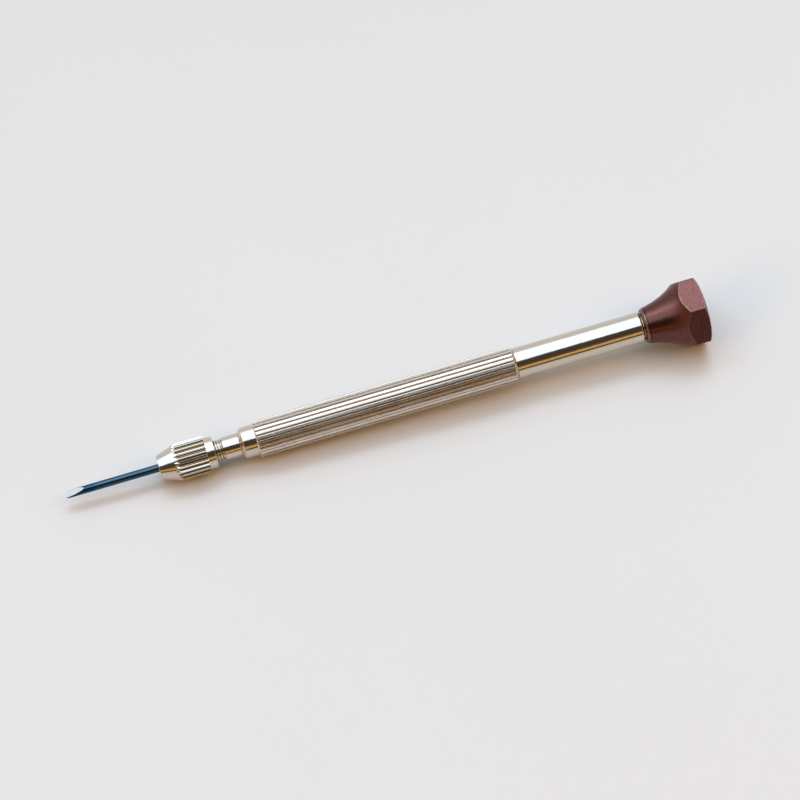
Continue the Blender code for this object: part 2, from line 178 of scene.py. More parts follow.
# %% [markdown]
# ## From a grid to a mesh
#
# A grid whose columns wrap round becomes a tube. If its rows wrap too, it is a ring with a bore.
# If the first and last rows have radius zero, they are poles, and their doubled points are
# merged so that the surface is closed.


# %% Grid to mesh
def grid_faces(rows, columns, wrap_rows):
    """Corner numbers of the quads between neighbouring rows and columns; columns always wrap."""
    last = rows if wrap_rows else rows - 1
    i, j = np.meshgrid(np.arange(last), np.arange(columns), indexing="ij")
    i2, j2 = (i + 1) % rows, (j + 1) % columns
    return np.stack([i * columns + j, i2 * columns + j, i2 * columns + j2, i * columns + j2], -1)


def add_piece(name, points, body, materials, replaces, wrap_rows=False, sharp=35,
              face_material=None, attributes=()):
    """Make a closed mesh from a grid of points and hang it on its CAD body."""
    rows, columns = points.shape[:2]
    faces = grid_faces(rows, columns, wrap_rows)
    mesh = bpy.data.meshes.new(name)
    mesh.from_pydata(points.reshape(-1, 3).tolist(), [], faces.reshape(-1, 4).tolist())
    for material in materials:
        mesh.materials.append(material)
    if face_material is not None:
        mesh.polygons.foreach_set("material_index", face_material.reshape(-1).astype(np.int32))
    for label, values in attributes:
        layer = mesh.attributes.new(label, "FLOAT", "POINT")
        layer.data.foreach_set("value", values.reshape(-1).astype(np.float32))
    bm = bmesh.new()
    bm.from_mesh(mesh)
    bmesh.ops.remove_doubles(bm, verts=bm.verts, dist=1e-8)
    bmesh.ops.recalc_face_normals(bm, faces=bm.faces)
    bm.to_mesh(mesh)
    bm.free()
    mesh.shade_smooth()
    mesh.set_sharp_from_angle(angle=math.radians(sharp))
    piece = bpy.data.objects.new(name, mesh)
    bpy.context.scene.collection.objects.link(piece)
    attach(piece, body)
    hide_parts(*replaces)
    print(f"{name}: {len(mesh.polygons)} faces, on {body}")
    return piece


# %% [markdown]
# ## Finishes
#
# Every finish starts from the Principled shader. Numbers that are the same all over are set on
# its own sockets. What changes from place to place, such as grain, polish marks and colour, is a
# pattern on Object coordinates, which on these pieces are metres in the tool's own frame. A
# noise stretched along one axis gives drawing or turning lines.


# %% Node helpers
class Finish:
    """A material under construction: its tree, its shader and the coordinates it reads."""

    def __init__(self, name, colour, roughness, metallic=1.0, **sockets):
        self.material = bpy.data.materials.new(name)
        self.material.use_nodes = True
        self.tree = self.material.node_tree
        self.shader = self.tree.nodes["Principled BSDF"]
        self.shader.inputs["Base Color"].default_value = (*colour, 1)
        self.shader.inputs["Roughness"].default_value = roughness
        self.shader.inputs["Metallic"].default_value = metallic
        for socket, value in sockets.items():
            self.shader.inputs[socket.replace("_", " ")].default_value = value
        self.place = self.add("ShaderNodeTexCoord").outputs["Object"]

    def add(self, kind, inputs=(), **settings):
        """Add a node, set its settings, and set or link its inputs."""
        node = self.tree.nodes.new(kind)
        for key, value in settings.items():
            setattr(node, key, value)
        for key, value in dict(inputs).items():
            if isinstance(value, bpy.types.NodeSocket):
                self.tree.links.new(value, node.inputs[key])
            else:
                node.inputs[key].default_value = value
        return node

    def noise(self, per_mm, detail=3.0, roughness=0.5):
        """Noise with the given number of cells per millimetre along x, y and z, from 0 to 1."""
        scaled = self.add("ShaderNodeMapping", {"Vector": self.place,
                                                "Scale": [n / MM for n in per_mm]})
        field = self.add("ShaderNodeTexNoise", {"Vector": scaled.outputs["Vector"], "Scale": 1.0,
                                                "Detail": detail, "Roughness": roughness})
        return field.outputs["Fac"]

    def spread(self, value, low, high, from_low=0.3, from_high=0.7):
        """Map a 0 to 1 pattern to a range of values."""
        node = self.add("ShaderNodeMapRange", {"Value": value, "From Min": from_low,
                                               "From Max": from_high, "To Min": low,
                                               "To Max": high})
        return node.outputs["Result"]

    def blend(self, share, first, second):
        """Mix two colours by a share from 0 to 1."""
        node = self.add("ShaderNodeMix", data_type="RGBA")
        self.tree.links.new(share, node.inputs["Factor"])
        for socket, colour in ((node.inputs[6], first), (node.inputs[7], second)):
            if isinstance(colour, bpy.types.NodeSocket):
                self.tree.links.new(colour, socket)
            else:
                socket.default_value = (*colour, 1)
        return node.outputs[2]

    def bump(self, height, depth_mm):
        """Raise the surface by a 0 to 1 pattern times a depth."""
        node = self.add("ShaderNodeBump", {"Height": height, "Distance": depth_mm * MM,
                                           "Strength": 1.0})
        self.set(Normal=node.outputs["Normal"])

    def sum(self, first, second, share):
        """First pattern plus a share of the second."""
        node = self.add("ShaderNodeMath", {0: second, 1: share, 2: first},
                        operation="MULTIPLY_ADD")
        return node.outputs[0]

    def set(self, **links):
        """Link sockets of the shader."""
        for socket, value in links.items():
            self.tree.links.new(value, self.shader.inputs[socket.replace("_", " ")])


# %% [markdown]
# ### Bright nickel
#
# The chuck, its stem and the rear tube are brass, polished and then plated with nickel. Nickel is
# a slightly yellow mirror. What keeps it from looking like chrome is a faint haze of polishing
# marks round the piece and a few soft patches of handling, so the roughness carries both and the
# bump stays tiny.


# %% Bright nickel
def bright_nickel():
    """Warm mirror plate with polishing marks, a slight waviness, and painted shade in the recesses.
    """
    plate = Finish("bright_nickel", (0.78, 0.73, 0.655), 0.1)
    rings = plate.noise((14, 0.6, 0.6), detail=4)
    waves = plate.noise((3.4, 2.0, 2.0), detail=4)
    patches = plate.noise((0.25, 0.5, 0.5), detail=2)
    plate.set(Roughness=plate.spread(plate.sum(patches, rings, 0.35), 0.04, 0.11, 0.4, 0.95))
    clean = plate.blend(patches, (0.68, 0.615, 0.535), (0.75, 0.69, 0.61))
    # Painted shade: the deeper a point lies in a flute or thread, the nearer its colour comes to
    # dark brown.
    recess_shade = plate.add("ShaderNodeAttribute", attribute_name="recess_shade").outputs["Fac"]
    plate.set(Base_Color=plate.blend(plate.spread(recess_shade, 0, 0.95, 0.5, 1.0), clean,
                                     (0.20, 0.125, 0.07)))
    plate.bump(plate.sum(waves, rings, 0.08), 0.010)
    return plate.material


# %% [markdown]
# ### Frosted nickel
#
# The fluted grip is plated too, but over metal that the flute cutter and a light blasting have
# left rough. Its grain is a fine three-dimensional noise, about a tenth of a millimetre across,
# that breaks each highlight into small glints.


# %% Frosted nickel
def frosted_nickel():
    """Plate over a blasted grain, with painted shade at the bottom of the grooves and drag lines
    along it.
    """
    plate = Finish("frosted_nickel", (0.72, 0.67, 0.60), 0.3)
    grain = plate.noise((5, 9, 9), detail=5, roughness=0.65)
    drag = plate.noise((0.9, 7, 7), detail=3)
    patches = plate.noise((0.2, 0.4, 0.4), detail=2)
    plate.set(Roughness=plate.spread(plate.sum(patches, grain, 0.5), 0.20, 0.34, 0.5, 1.0))
    clean = plate.blend(plate.spread(grain, 0, 1), (0.56, 0.465, 0.385), (0.85, 0.735, 0.63))
    # Painted shade: the groove bottoms are mixed towards dark brown by their depth.
    recess_shade = plate.add("ShaderNodeAttribute", attribute_name="recess_shade").outputs["Fac"]
    plate.set(Base_Color=plate.blend(plate.spread(recess_shade, 0, 0.95, 0.4, 0.85), clean,
                                     (0.17, 0.11, 0.075)))
    plate.bump(plate.sum(grain, drag, 0.6), 0.014)
    return plate.material


# %% [markdown]
# ### Blued steel
#
# A screwdriver blade is hardened and then tempered. The heat grows a film of oxide a fraction of
# a light wave thick, which shows as blue and shades towards purple where the steel got a little
# less heat. The film is thin, so the steel under it still looks like drawn rod.


# %% Blued steel
TEMPER_STEP = 1.7 * MM
CHISEL_LENGTH = 2.9 * MM


def blued_steel():
    """Temper blue that deepens next to the ground tip, over drawing lines along the rod."""
    steel = Finish("blued_steel", (0.055, 0.13, 0.21), 0.22, Specular_Tint=(0.2, 0.3, 0.4, 1))
    lines = steel.noise((0.4, 22, 22), detail=3)
    cloud = steel.noise((0.5, 1.2, 1.2), detail=2)
    along = steel.add("ShaderNodeSeparateXYZ", {"Vector": steel.place}).outputs["X"]
    edge = BLADE_X + CHISEL_LENGTH + TEMPER_STEP
    near_tip = steel.spread(along, 1, 0, edge - 0.25 * MM, edge + 0.25 * MM)
    rod = steel.blend(cloud, (0.036, 0.085, 0.135), (0.060, 0.115, 0.165))
    steel.set(Base_Color=steel.blend(near_tip, rod, (0.022, 0.075, 0.15)))
    steel.set(Roughness=steel.spread(steel.sum(cloud, lines, 0.5), 0.10, 0.22, 0.4, 1.0))
    steel.bump(lines, 0.002)
    return steel.material


# %% [markdown]
# ### Ground steel
#
# The chisel is dressed on a stone after it is blued, so its two faces are bare, nearly white, and
# marked by fine scratches across the blade.


# %% Ground steel
def ground_steel():
    """Bare steel with straight stone marks across the blade."""
    steel = Finish("ground_steel", (0.36, 0.37, 0.38), 0.4)
    marks = steel.noise((26, 1.5, 1.5), detail=4)
    cloud = steel.noise((1.0, 1.0, 1.0), detail=2)
    steel.set(Base_Color=steel.blend(cloud, (0.385, 0.365, 0.335), (0.44, 0.42, 0.39)))
    steel.set(Roughness=steel.spread(marks, 0.34, 0.5))
    steel.bump(marks, 0.004)
    return steel.material


# %% [markdown]
# ### Maroon anodising
#
# The head is turned from aluminium bar and anodised. The dye sits in a clear oxide on the metal,
# so it looks like a tinted metal with a soft, pinkish sheen. Turning lines run round the flare,
# the milled flats are finely grained, and a highlight is painted along the edges and the front
# lip, which makes them paler. The mesh carries that last one as an attribute.


# %% Maroon anodising
def maroon_anodised():
    """Dyed oxide over turned aluminium, grained, with a painted highlight that pales it where the
    edge_highlight attribute says.
    """
    oxide = Finish("maroon_anodised", (0.18, 0.08, 0.088), 0.32)
    rings = oxide.noise((16, 0.35, 0.35), detail=4, roughness=0.6)
    grain = oxide.noise((3.2, 3.2, 3.2), detail=5, roughness=0.65)
    edge_highlight = oxide.add("ShaderNodeAttribute", attribute_name="edge_highlight").outputs["Fac"]
    flat = oxide.add("ShaderNodeAttribute", attribute_name="flat").outputs["Fac"]
    dyed = oxide.blend(oxide.spread(rings, 0, 1), (0.118, 0.043, 0.036), (0.165, 0.065, 0.055))
    milled = oxide.blend(oxide.spread(grain, 0, 1), (0.095, 0.036, 0.031), (0.185, 0.077, 0.067))
    body = oxide.blend(flat, dyed, milled)
    # Painted highlight: edges and the front lip are mixed towards a pale colour, broken by the
    # grain, for the light their rounding catches.
    edge_highlight_share = oxide.add("ShaderNodeMath", {0: edge_highlight, 1: oxide.spread(grain, 0.5, 1)},
                     operation="MULTIPLY").outputs[0]
    oxide.set(Base_Color=oxide.blend(edge_highlight_share, body, (0.30, 0.21, 0.19)))
    oxide.set(Roughness=oxide.spread(oxide.sum(grain, rings, 0.4), 0.20, 0.34, 0.4, 1.0))
    oxide.bump(oxide.sum(rings, grain, 0.9), 0.005)
    return oxide.material


# %% [markdown]
# ### Inner metals
#
# The pieces inside come from the CAD model as they are. They still get a finish of their own:
# turned bronze for the bush and the washer, and ground or spring steel for the rest.


# %% Inner metals
def turned_metal(name, light, dark, roughness, lines_per_mm):
    """Metal with turning lines across the axis, between two close colours."""
    metal = Finish(name, light, roughness)
    lines = metal.noise((lines_per_mm, 0.4, 0.4), detail=4)
    metal.set(Base_Color=metal.blend(metal.spread(lines, 0, 1), dark, light))
    metal.set(Roughness=metal.spread(lines, roughness * 0.8, roughness * 1.25))
    metal.bump(lines, 0.002)
    return metal.material


NICKEL = bright_nickel()
FROSTED = frosted_nickel()
BLUED = blued_steel()
GROUND = ground_steel()
MAROON = maroon_anodised()
SPRING_STEEL = turned_metal("spring_steel", (0.50, 0.49, 0.47), (0.40, 0.39, 0.37), 0.3, 10)
HARD_STEEL = turned_metal("hardened_steel", (0.60, 0.60, 0.62), (0.50, 0.50, 0.52), 0.18, 18)
BRONZE = turned_metal("bearing_bronze", (0.66, 0.45, 0.22), (0.55, 0.35, 0.15), 0.28, 12)
for node, metal in (("collet", SPRING_STEEL), ("ball_seat", HARD_STEEL),
                    ("thrust_ball", HARD_STEEL), ("retaining_clip", HARD_STEEL),
                    ("spindle", HARD_STEEL), ("tail_bush", BRONZE), ("thrust_washer", BRONZE)):
    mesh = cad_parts[node].data
    mesh.materials.clear()
    mesh.materials.append(metal)
print("finishes:", sorted(material.name for material in bpy.data.materials))

# %% [markdown]
# ## The blade
#
# A blade is a round rod with two flats ground on it. Cutting a rod with two planes would do, but
# the curved edge where a plane leaves the round would fall between grid lines and look ragged.
# So each ring of the grid is laid out by where that edge is: one share of its points goes on the
# two arcs that are left and the other share on the two flats.

# %% Blade sizes
BLADE_RADIUS = radius_of("blade")
EDGE_THICKNESS = 0.22 * MM
CORNER_ROUND = 0.30 * MM
ARC_SHARE = 25
FLAT_SHARE = 15


def chisel_ring(x):
    """Rings of a rod ground from two sides, one row for each x measured from the tip.

    The half thickness h grows from the edge's to the rod's radius R along the chisel, and the
    flat starts at the angle asin(h / R). The width shrinks near the tip along a quarter circle,
    which rounds the two corners of the edge.
    """
    reach = np.clip(x / CHISEL_LENGTH, 0, 1)
    half = EDGE_THICKNESS / 2 + (BLADE_RADIUS - EDGE_THICKNESS / 2) * reach
    turn = np.arcsin(np.clip(half / BLADE_RADIUS, 0, 1))[:, None]
    sweep = np.linspace(-1, 1, ARC_SHARE)[None]
    across = np.linspace(1, -1, FLAT_SHARE + 2)[None, 1:-1]
    side_y, side_z = BLADE_RADIUS * np.cos(turn * sweep), BLADE_RADIUS * np.sin(turn * sweep)
    flat_y = BLADE_RADIUS * np.cos(turn) * across
    flat_z = np.repeat(half[:, None], FLAT_SHARE, axis=1)
    y = np.concatenate([side_y, flat_y, -side_y, -flat_y], axis=1)
    z = np.concatenate([side_z, flat_z, -side_z, -flat_z], axis=1)
    inset = CORNER_ROUND - np.clip(x, 0, CORNER_ROUND)
    narrow = CORNER_ROUND - np.sqrt(np.maximum(CORNER_ROUND ** 2 - inset ** 2, 0))
    return y * (1 - narrow / BLADE_RADIUS)[:, None], z


# %% Make the blade
def make_blade():
    """Rings from the working edge to the rod's far end, closed by a point at both ends."""
    tip = np.concatenate([np.linspace(0, CORNER_ROUND, 9)[:-1],
                          np.linspace(CORNER_ROUND, CHISEL_LENGTH, 60)])
    length = BLADE_END_X - BLADE_X
    rod = np.linspace(CHISEL_LENGTH, length - 0.1 * MM, 40)[1:]
    along = np.concatenate([tip, rod, [length]])
    y, z = chisel_ring(along)
    shrink = np.ones(len(along))
    shrink[-1] = 1 - 0.1 * MM / BLADE_RADIUS
    y, z = y * shrink[:, None], z * shrink[:, None]
    zeros = np.zeros((1, y.shape[1]))
    y = np.concatenate([zeros, y, zeros])
    z = np.concatenate([zeros, z, zeros])
    x = BLADE_X + np.concatenate([[0], along, [length]])
    points = np.stack([np.repeat(x[:, None], y.shape[1], axis=1), y, AXIS_Z + z], axis=-1)
    rows, columns = points.shape[:2]
    column = np.arange(columns)
    half_turn = ARC_SHARE + FLAT_SHARE
    on_flat = (column % half_turn) >= ARC_SHARE - 1
    on_chisel = np.arange(rows - 1) <= len(tip)
    ground = (on_chisel[:, None] & on_flat[None]) | (np.arange(rows - 1) == 0)[:, None]
    return add_piece("blade_rod", points, "blade", [BLUED, GROUND], ["blade"],
                     face_material=ground, sharp=12)


make_blade()

# %% [markdown]
# ## Turned pieces
#
# The nut, the stem, the grip and the tube are all turned. One helper takes the corners of a
# profile in millimetres from the piece's front, rounds them, turns the profile and hangs the
# result on its body. A piece with a through bore is a ring: its profile comes back to where it
# began. A piece with a blind bore starts and ends on the axis instead.


# %% A helper for turned pieces
def turned_piece(node, corners, body, material, columns=192, carve=None, step=None):
    """Turn (x, radius, fillet) corners in millimetres, measured from the front of a CAD node."""
    front = span(node)[0]
    corners = [(front + x * MM, r * MM, fillet * MM) for x, r, fillet in corners]
    ring = corners[0][1] > 0
    profile = rounded_profile(corners, None if step is None else step * MM)
    # The depth share goes onto the mesh so that the finishes can paint shade into its grooves.
    points, recess_shade = turned_grid(profile, columns, carve)
    return add_piece(node + "_turned", points, body, [material], [node], wrap_rows=ring,
                     attributes=(("recess_shade", recess_shade),))


def soft_min(first, second, width):
    """The smaller of two values, with the corner between them rounded over a width.

    Where they differ by less than the width w, it is lowered by (w - |a - b|) squared over 4w.
    """
    near = np.maximum(width - np.abs(first - second), 0)
    return np.minimum(first, second) - near ** 2 / (4 * width)


def flutes(crest, depth, width, count=24, round_over=0.05, first_x=-1.0, power=2.2, turn=0.0):
    """Carving function for straight flutes, with sizes in millimetres.

    At a distance s from the middle of a flute the cut lies at crest - depth (1 - |2s/width|^p),
    which rises past the crest between flutes. The surface is the smaller of that and the
    profile, so on a cone the flutes run out by themselves as rounded petals.
    """
    pitch = 2 * math.pi / count

    def carve(x, r, a):
        s = crest * np.sin(np.mod(a - turn, pitch) - pitch / 2)
        floor = crest - depth * (1 - np.abs(2 * s / width) ** power)
        return np.where(x < first_x, r, soft_min(r, floor * MM, round_over * MM))
    return carve


# %% [markdown]
# ## The chuck nut
#
# The nut is what the fingers turn to grip the blade. It is turned with a long cone in front, then
# a cutter runs 24 round flutes along it. The cutter leaves through the cone, which is why each
# flute ends in a curved tip there, and stops the fingers from slipping. A plain collar is left
# behind the flutes.

# %% Make the chuck nut
NUT_CONE_END = 3.2
NUT_FLUTES_END = 7.6
NUT_LENGTH = (NUT_END_X - NUT_X) / MM
nut_corners = [
    (5.0, 1.75, 0), (2.6, 1.75, 0.02), (2.6, 1.45, 0.02), (0.4, 1.05, 0.05), (0.0, 1.05, 0.06),
    (0.0, 1.85, 0.10), (NUT_CONE_END, 2.925, 0.8), (NUT_FLUTES_END, 2.925, 0.10),
    (NUT_FLUTES_END, 2.45, 0.03), (NUT_LENGTH, 2.45, 0.12), (NUT_LENGTH, 1.75, 0.08),
]
turned_piece("chuck_nut", nut_corners, "chuck_nut", NICKEL, columns=24 * 24,
             carve=flutes(2.925, 0.26, 0.60, first_x=NUT_X + 0.5 * MM, turn=math.radians(-8.6)),
             step=0.12)

# %% [markdown]
# ## The chuck stem
#
# Behind the nut a little of its thread shows, and then the plain neck that joins the chuck to the
# grip. A real thread is a helix: the radius is a zigzag of the distance along the axis less one
# pitch for each turn, so every ridge climbs by a pitch as it goes round.

# %% Make the chuck stem
PITCH = 0.45 * MM
THREAD_DEPTH = 0.18 * MM
NECK_X = GRIP_X - 2.6 * MM
RUN_OUT = 0.2 * MM


def screw_thread(x, r, a):
    """Lower the radius by depth times a rounded zigzag of x / pitch - a / 2 pi.

    The thread fades in and out over a short run-out at both ends.
    """
    phase = np.mod(x / PITCH - a / (2 * math.pi), 1)
    ridge = np.clip(1.35 * (1 - 2 * np.abs(phase - 0.5)) - 0.1, 0, 1)
    inside = np.clip((x - STEM_X) / RUN_OUT, 0, 1) * np.clip((NECK_X - x) / RUN_OUT, 0, 1)
    threaded = (x < NECK_X) & (r > 1.5 * MM)
    return np.where(threaded, r - THREAD_DEPTH * (1 - ridge * inside), r)


neck = (NECK_X - STEM_X) / MM
shoulder = (GRIP_X - STEM_X) / MM - 0.03
stem_corners = [
    (shoulder + 6.0, 0.0, 0), (shoulder + 6.0, 1.5, 0.15), (shoulder, 1.5, 0.03),
    (shoulder, 1.8, 0.05), (neck, 1.8, 0.12), (neck, 1.70, 0.02), (0.0, 1.70, 0.10),
    (0.0, 1.15, 0.05), (5.56, 1.15, 0.02), (5.56, 0.70, 0.02), (7.77, 0.70, 0.02), (7.77, 0.0, 0),
]
turned_piece("chuck_stem", stem_corners, "handle", NICKEL, columns=120,
             carve=screw_thread, step=0.04)

# %% [markdown]
# ## The grip
#
# The grip is the long part that two fingers roll. It has a polished collar and a short cone in
# front, and behind them 24 narrow grooves that leave flat ribs. The groove edges are rounded by
# the finishing, and each rib catches its own thin highlight there.

# %% Make the grip
GRIP_FLUTES = 2.55
GRIP_LENGTH = (GRIP_END_X - GRIP_X) / MM
grip_corners = [
    (20.0, 1.53, 0), (0.0, 1.53, 0.05), (0.0, 1.90, 0.06), (0.5, 2.45, 0.10),
    (GRIP_FLUTES, 2.45, 0.03), (GRIP_FLUTES, 2.675, 0.05), (GRIP_FLUTES + 0.15, 2.825, 0.10),
    (GRIP_LENGTH - 0.38, 2.825, 0.12), (GRIP_LENGTH, 2.445, 0.08), (GRIP_LENGTH, 2.03, 0.05),
    (GRIP_LENGTH - 7.83, 2.03, 0.02),
    (GRIP_LENGTH - 7.83, 1.53, 0.02),
]
grip = turned_piece("grip_barrel", grip_corners, "handle", FROSTED,
                    columns=24 * 18, step=0.4,
                    carve=flutes(2.825, 0.20, 0.30, round_over=0.06, first_x=GRIP_X + 2.3 * MM,
                                 turn=math.radians(-3.0)))
grip.data.materials.append(NICKEL)
centres = np.empty(3 * len(grip.data.polygons))
grip.data.polygons.foreach_get("center", centres)
polished = (centres[0::3] < GRIP_X + (GRIP_FLUTES - 0.01) * MM).astype(np.int32)
grip.data.polygons.foreach_set("material_index", polished)
print("polished faces on the grip:", int(polished.sum()))

# %% [markdown]
# ## The rear tube
#
# The tube behind the grip is plain and polished. A spigot on its front is pressed into the grip,
# and its rear end is rounded over where it meets the head.

# %% Make the rear tube
SPIGOT = 7.8
TUBE_LENGTH = (TUBE_END_X - TUBE_X) / MM
tube_corners = [
    (12.0, 1.5, 0), (0.0, 1.5, 0.05), (0.0, 2.0, 0.15), (SPIGOT, 2.0, 0.02), (SPIGOT, 2.425, 0.06),
    (TUBE_LENGTH - 0.3, 2.425, 0.25), (TUBE_LENGTH, 2.125, 0.08), (TUBE_LENGTH, 1.5, 0.05),
]
turned_piece("rear_tube", tube_corners, "handle", NICKEL, columns=192, step=0.5)

# %% [markdown]
# ## The head
#
# The head turns freely, so that a fingertip can press on it while the grip is rolled. It starts
# as hexagonal bar: the front is turned to a concave flare, the back is chamfered and dished, and
# what is left of the bar is six short flats. Where the flare leaves the flats the edge is curved,
# nearest the front in the middle of each flat. The grid follows that edge exactly: for every
# angle the rows are divided between the flare, the flat and the chamfer at their true limits.

# %% Head sizes
HALF_FLATS = (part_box("head")[1].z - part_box("head")[0].z) / 2
HEAD_LENGTH = HEAD_END_X - HEAD_X
FLARE_FROM = (0.6 * MM, 2.84 * MM)
FLARE_BEND = (4.75 * MM, 3.59 * MM)
FLARE_TO = (6.90 * MM, 5.86 * MM)
END_RADIUS = HALF_FLATS - 0.05 * MM
CHAMFER_ANGLE = math.radians(30)
CHAMFER_SLOPE = math.tan(CHAMFER_ANGLE)
FLARE_ROUND = 0.09 * MM
FLARE_SHORT = 0.014
REAR_ROUND = 0.05 * MM
DISH_RIM, DISH_DEPTH = 0.8 * MM, 0.5 * MM
PER_FLAT = 44


# %% The hexagon round the axis
def hexagon_angles():
    """Angles round the axis, closer together at the corners, and the hexagon's radius there.

    A flat at distance d lies at d / cos(angle from its middle), and a corner is the smaller of
    two flats, rounded.
    """
    share = np.linspace(-1, 1, PER_FLAT, endpoint=False)
    local = math.radians(30) * np.sin(math.pi / 2 * share)
    near = HALF_FLATS / np.cos(local)
    far = HALF_FLATS / np.cos(math.radians(60) - np.abs(local))
    radius = soft_min(near, far, 0.12 * MM)
    middles = math.radians(90) + math.radians(60) * np.arange(6)
    return (middles[:, None] + local[None]).ravel(), np.tile(radius, 6)


def bend(before, corner, after, shares):
    """Quadratic curve from one point to another that heads for the corner between them."""
    s = np.asarray(shares)[:, None]
    return [(1 - s) ** 2 * b + 2 * s * (1 - s) * c + s ** 2 * a
            for b, c, a in zip(before, corner, after)]


def between(first, last, shares):
    """Points on the straight line between two points, for every column."""
    s = np.asarray(shares)[:, None]
    return [f + s * (t - f) for f, t in zip(first, last)]


# %% Rows of the head
def head_rows(hexagon):
    """Rows of (x, radius) from the bottom of the bore, round the outside, to the dish.

    The flare is the quadratic curve (1 - t)^2 A + 2 t (1 - t) B + t^2 C, which leaves A towards
    the bend B and reaches C from it. It meets the hexagon h at the root of the quadratic
    (a - 2b + c) t^2 + 2 (b - a) t + a - h = 0. Each edge is rounded by a short curve.
    """
    columns = np.ones_like(hexagon)
    front = rounded_profile([(6.34 * MM, 0, 0), (6.34 * MM, 1.03 * MM, 0.02 * MM),
                             (0.31 * MM, 1.03 * MM, 0.02 * MM), (0.31 * MM, 2.05 * MM, 0.03 * MM),
                             (0, 2.05 * MM, 0.05 * MM), (0, 2.25 * MM, 0.05 * MM),
                             (0.10 * MM, 2.60 * MM, 0.3 * MM), (0.36 * MM, 2.78 * MM, 0.3 * MM),
                             (0.47 * MM, 2.78 * MM, 0.05 * MM), (0.54 * MM, 2.64 * MM, 0.02 * MM),
                             (*FLARE_FROM, 0)], 0.2 * MM)[:-1]

    def curve(axis, t):
        """The flare's x (axis 0) or radius (axis 1) at t."""
        first, corner, last = FLARE_FROM[axis], FLARE_BEND[axis], FLARE_TO[axis]
        return (1 - t) ** 2 * first + 2 * t * (1 - t) * corner + t ** 2 * last

    square = FLARE_FROM[1] - 2 * FLARE_BEND[1] + FLARE_TO[1]
    linear = FLARE_BEND[1] - FLARE_FROM[1]
    meets = (np.sqrt(linear ** 2 - square * (FLARE_FROM[1] - hexagon)) - linear) / square
    sweep = np.linspace(0, 1, 60)[:, None] * (meets - FLARE_SHORT)
    flare = [curve(0, sweep), curve(1, sweep)]
    edge = (curve(0, meets), hexagon)
    rear_x = HEAD_LENGTH - (hexagon - END_RADIUS) * CHAMFER_SLOPE
    small = np.minimum(0.4 * (HEAD_LENGTH - rear_x) / math.sin(CHAMFER_ANGLE), REAR_ROUND)
    rear = (rear_x, hexagon)
    flat_from = (edge[0] + FLARE_ROUND, hexagon)
    flat_to = (rear_x - small, hexagon)
    chamfer_from = (rear_x + small * 0.5, hexagon - small * math.cos(CHAMFER_ANGLE))
    chamfer_to = (HEAD_LENGTH * columns - 0.01 * MM, (END_RADIUS + 0.017 * MM) * columns)
    land_from = (HEAD_LENGTH * columns, (END_RADIUS - 0.03 * MM) * columns)
    rim = END_RADIUS - DISH_RIM
    sphere = (rim ** 2 + DISH_DEPTH ** 2) / (2 * DISH_DEPTH)
    reach = math.asin(rim / sphere) * np.linspace(1, 0, 40)[:, None]
    dish = [(HEAD_LENGTH - DISH_DEPTH + sphere * (1 - np.cos(reach))) * columns,
            sphere * np.sin(reach) * columns]
    # Each part: its rows, whether they lie on a flat, and the share of painted edge highlight they
    # get.
    parts = [
        ([front[:, :1] * columns, front[:, 1:] * columns], 0, 0.7 * (front[:, 1:] > 2.1 * MM)),
        (flare, 0, 0),
        (bend((flare[0][-1], flare[1][-1]), edge, flat_from, [0.2, 0.4, 0.6, 0.8, 1]), 1, 0.5),
        (between(flat_from, flat_to, [0.02, 0.06, *np.linspace(0.12, 0.88, 14), 0.94, 0.98]), 1, 0),
        (bend(flat_to, rear, chamfer_from, [0, 0.25, 0.5, 0.75, 1]), 1, 0.6),
        (between(chamfer_from, chamfer_to, [0.15, 0.3, 0.5, 0.7, 0.85, 1]), 0, 0),
        (between(land_from, (HEAD_LENGTH * columns, (rim + 0.05 * MM) * columns),
                 [0, 0.1, 0.5, 0.9, 1]), 0, 0),
        (dish, 0, 0),
    ]
    x = np.concatenate([part[0][0] for part in parts])
    r = np.concatenate([part[0][1] for part in parts])
    flat = np.concatenate([np.full(part[0][0].shape, part[1], float) for part in parts])
    edge_highlight = np.concatenate([np.full(part[0][0].shape, part[2], float) for part in parts])
    return x, r, flat, edge_highlight


# %% Make the head
def make_head():
    """Turn the rows about the axis, with the flats and the painted edge highlight as attributes."""
    angles, hexagon = hexagon_angles()
    x, r, flat, edge_highlight = head_rows(hexagon)
    points = np.stack([HEAD_X + x, r * np.cos(angles), AXIS_Z + r * np.sin(angles)], axis=-1)
    return add_piece("head_shell", points, "head", [MAROON], ["head"],
                     sharp=50, attributes=(("flat", flat), ("edge_highlight", edge_highlight)))


make_head()

# %% [markdown]
# ## Floor
#
# The tool lies on a pale, slightly glossy table. It touches the table at the head and at the
# chuck nut, which is slimmer, so the table is drawn as a plane that rises a little towards the
# blade.

# %% Make the floor
REST_HEAD_X = 47.445 * MM
REST_NUT = (-33.1 * MM, 2.15 * MM)
FLOOR_HALF = 3.0


def make_floor():
    """One large square that passes under the head's flat and the nut's ribs."""
    rise = REST_NUT[1] / (REST_HEAD_X - REST_NUT[0])
    corners = [(x, y, (REST_HEAD_X - x) * rise) for x, y in
               ((-FLOOR_HALF, -FLOOR_HALF), (FLOOR_HALF, -FLOOR_HALF),
                (FLOOR_HALF, FLOOR_HALF), (-FLOOR_HALF, FLOOR_HALF))]
    mesh = bpy.data.meshes.new("floor")
    mesh.from_pydata(corners, [], [(0, 1, 2, 3)])
    floor = bpy.data.objects.new("floor", mesh)
    bpy.context.scene.collection.objects.link(floor)
    paint = Finish("floor_paint", (0.575, 0.575, 0.575), 0.32, metallic=0.0)
    cloud = paint.noise((0.01, 0.01, 0.01), detail=2)
    paint.set(Roughness=paint.spread(cloud, 0.28, 0.36))
    mesh.materials.append(paint.material)
    floor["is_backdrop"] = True
    return floor


make_floor()

